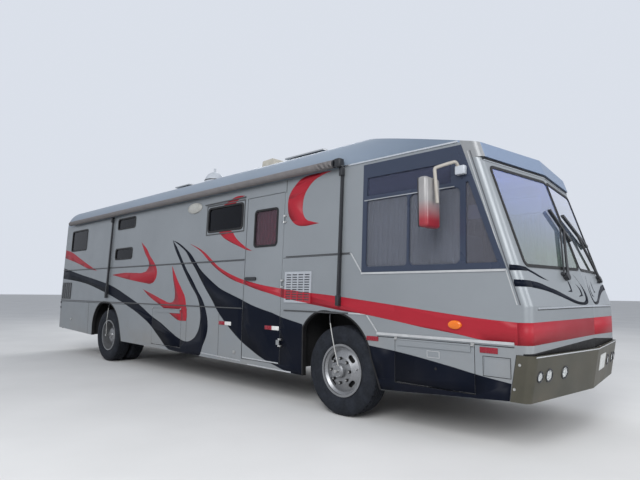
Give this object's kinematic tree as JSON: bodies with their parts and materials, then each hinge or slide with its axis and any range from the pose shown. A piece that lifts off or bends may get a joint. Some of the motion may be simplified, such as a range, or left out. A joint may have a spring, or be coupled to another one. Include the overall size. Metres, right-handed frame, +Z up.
{
  "type": "motorhome",
  "caption": "Coach-built motorhome on a rear-engined bus chassis, with a vee front, split windscreen, side awning, entry door, locker flaps and twin rear wheels.",
  "frame": {"origin": "on the ground under the middle of the vehicle's length and width", "axes": "+X forward along the vehicle, +Y to its left, +Z up"},
  "size_m": [11.19, 3.2, 3.5419],
  "materials": {
    "silver_paint": "metallic",
    "roof_paint": "gloss",
    "dark_paint": "satin",
    "chassis_paint": "matt",
    "light_trim": "satin",
    "black_trim": "satin",
    "seal_rubber": "matt",
    "tyre_rubber": "matt",
    "wheel_paint": "gloss",
    "glass": "gloss",
    "white_plastic": "gloss",
    "lamp_plastic": "gloss",
    "mirror_shell": "gloss",
    "awning_cloth": "woven",
    "panel_glass": "gloss",
    "floor_board": "satin",
    "step_metal": "chequered",
    "cab_plastic": "matt",
    "seat_cloth": "woven"
  },
  "bodies": {
    "coach": {"awning_arms": "black_trim", "awning_roller": "awning_cloth", "body_lamps": "lamp_plastic", "bumper_lamps": "lamp_plastic", "bumpers": "dark_paint", "cab_partition": "floor_board", "cab_seats": "seat_cloth", "cab_window_frames": "black_trim", "chassis_cross_members": "chassis_paint", "chassis_frame": "chassis_paint", "dashboard": "cab_plastic", "engine_and_gearbox": "chassis_paint", "entry_steps": "step_metal", "floor": "floor_board", "front_axle": "chassis_paint", "front_mask": "silver_paint", "fuel_and_water_tanks": "chassis_paint", "leaf_springs": "chassis_paint", "left_skirt": "silver_paint", "left_wall": "silver_paint", "mirror_arms": "light_trim", "mirror_heads": "mirror_shell", "panel_hinges": "black_trim", "rear_axle": "chassis_paint", "rear_wall": "silver_paint", "right_skirt": "silver_paint", "right_wall": "silver_paint", "roof": "roof_paint", "roof_cap": "roof_paint", "roof_dome": "white_plastic", "roof_vent": "white_plastic", "side_grilles": "white_plastic", "side_mouldings": "light_trim", "side_reflectors": "lamp_plastic", "side_windows": "glass", "solar_panel": "panel_glass", "steering_wheel": "cab_plastic", "wheel_boxes": "chassis_paint", "window_seals": "seal_rubber", "windscreen": "glass", "wipers": "black_trim"},
    "left_steering_knuckle": {"left_knuckle": "chassis_paint"},
    "left_front_wheel": {"left_front_tyre": "tyre_rubber", "left_front_rim": "wheel_paint"},
    "left_rear_wheels": {"left_rear_tyres": "tyre_rubber", "left_rear_rims": "wheel_paint"},
    "left_front_locker": {"left_front_flap": "silver_paint"},
    "left_middle_locker": {"left_middle_flap": "silver_paint"},
    "right_steering_knuckle": {"right_knuckle": "chassis_paint"},
    "right_front_wheel": {"right_front_tyre": "tyre_rubber", "right_front_rim": "wheel_paint"},
    "right_rear_wheels": {"right_rear_tyres": "tyre_rubber", "right_rear_rims": "wheel_paint"},
    "right_front_locker": {"right_front_flap": "silver_paint"},
    "right_middle_locker": {"right_middle_flap": "silver_paint"},
    "door_leaf": {"entry_door": "silver_paint", "entry_door_seal": "seal_rubber", "entry_door_window": "glass", "entry_door_handle": "black_trim"},
    "hatch_lid": {"engine_hatch": "silver_paint"}
  },
  "joints": [
    {"name": "left_steering", "type": "hinge", "parent": "coach", "child": "left_steering_knuckle", "pos_m": [3.22, 0.93, 0.505], "axis": [0, 0, 1], "range_deg": [-35, 35]},
    {"name": "left_front_wheel_spin", "type": "hinge", "parent": "left_steering_knuckle", "child": "left_front_wheel", "pos_m": [3.22, 1.0825, 0.505], "axis": [0, 1, 0], "continuous": true},
    {"name": "left_rear_wheels_spin", "type": "hinge", "parent": "coach", "child": "left_rear_wheels", "pos_m": [-2.99, 0.925, 0.505], "axis": [0, 1, 0], "continuous": true},
    {"name": "left_front_flap_hinge", "type": "hinge", "parent": "coach", "child": "left_front_locker", "pos_m": [4.455, 1.26, 0.922], "axis": [1, 0, 0], "range_deg": [0, 85]},
    {"name": "left_middle_flap_hinge", "type": "hinge", "parent": "coach", "child": "left_middle_locker", "pos_m": [-0.655, 1.26, 1.092], "axis": [1, 0, 0], "range_deg": [0, 85]},
    {"name": "right_steering", "type": "hinge", "parent": "coach", "child": "right_steering_knuckle", "pos_m": [3.22, -0.93, 0.505], "axis": [0, 0, 1], "range_deg": [-35, 35]},
    {"name": "right_front_wheel_spin", "type": "hinge", "parent": "right_steering_knuckle", "child": "right_front_wheel", "pos_m": [3.22, -1.0825, 0.505], "axis": [0, 1, 0], "continuous": true},
    {"name": "right_rear_wheels_spin", "type": "hinge", "parent": "coach", "child": "right_rear_wheels", "pos_m": [-2.99, -0.925, 0.505], "axis": [0, 1, 0], "continuous": true},
    {"name": "right_front_flap_hinge", "type": "hinge", "parent": "coach", "child": "right_front_locker", "pos_m": [4.455, -1.26, 0.922], "axis": [-1, 0, 0], "range_deg": [0, 85]},
    {"name": "right_middle_flap_hinge", "type": "hinge", "parent": "coach", "child": "right_middle_locker", "pos_m": [-0.655, -1.26, 1.092], "axis": [-1, 0, 0], "range_deg": [0, 85]},
    {"name": "entry_door_hinge", "type": "hinge", "parent": "coach", "child": "door_leaf", "pos_m": [2.222, -1.2504, 1.5], "axis": [0, 0.036, 0.9994], "range_deg": [0, 95]},
    {"name": "engine_hatch_hinge", "type": "hinge", "parent": "coach", "child": "hatch_lid", "pos_m": [-5.545, 0, 1.562], "axis": [0, 1, 0], "range_deg": [0, 80]}
  ],
  "couplings": [
    {"joint": "right_steering", "follows": "left_steering", "ratio": 1}
  ]
}
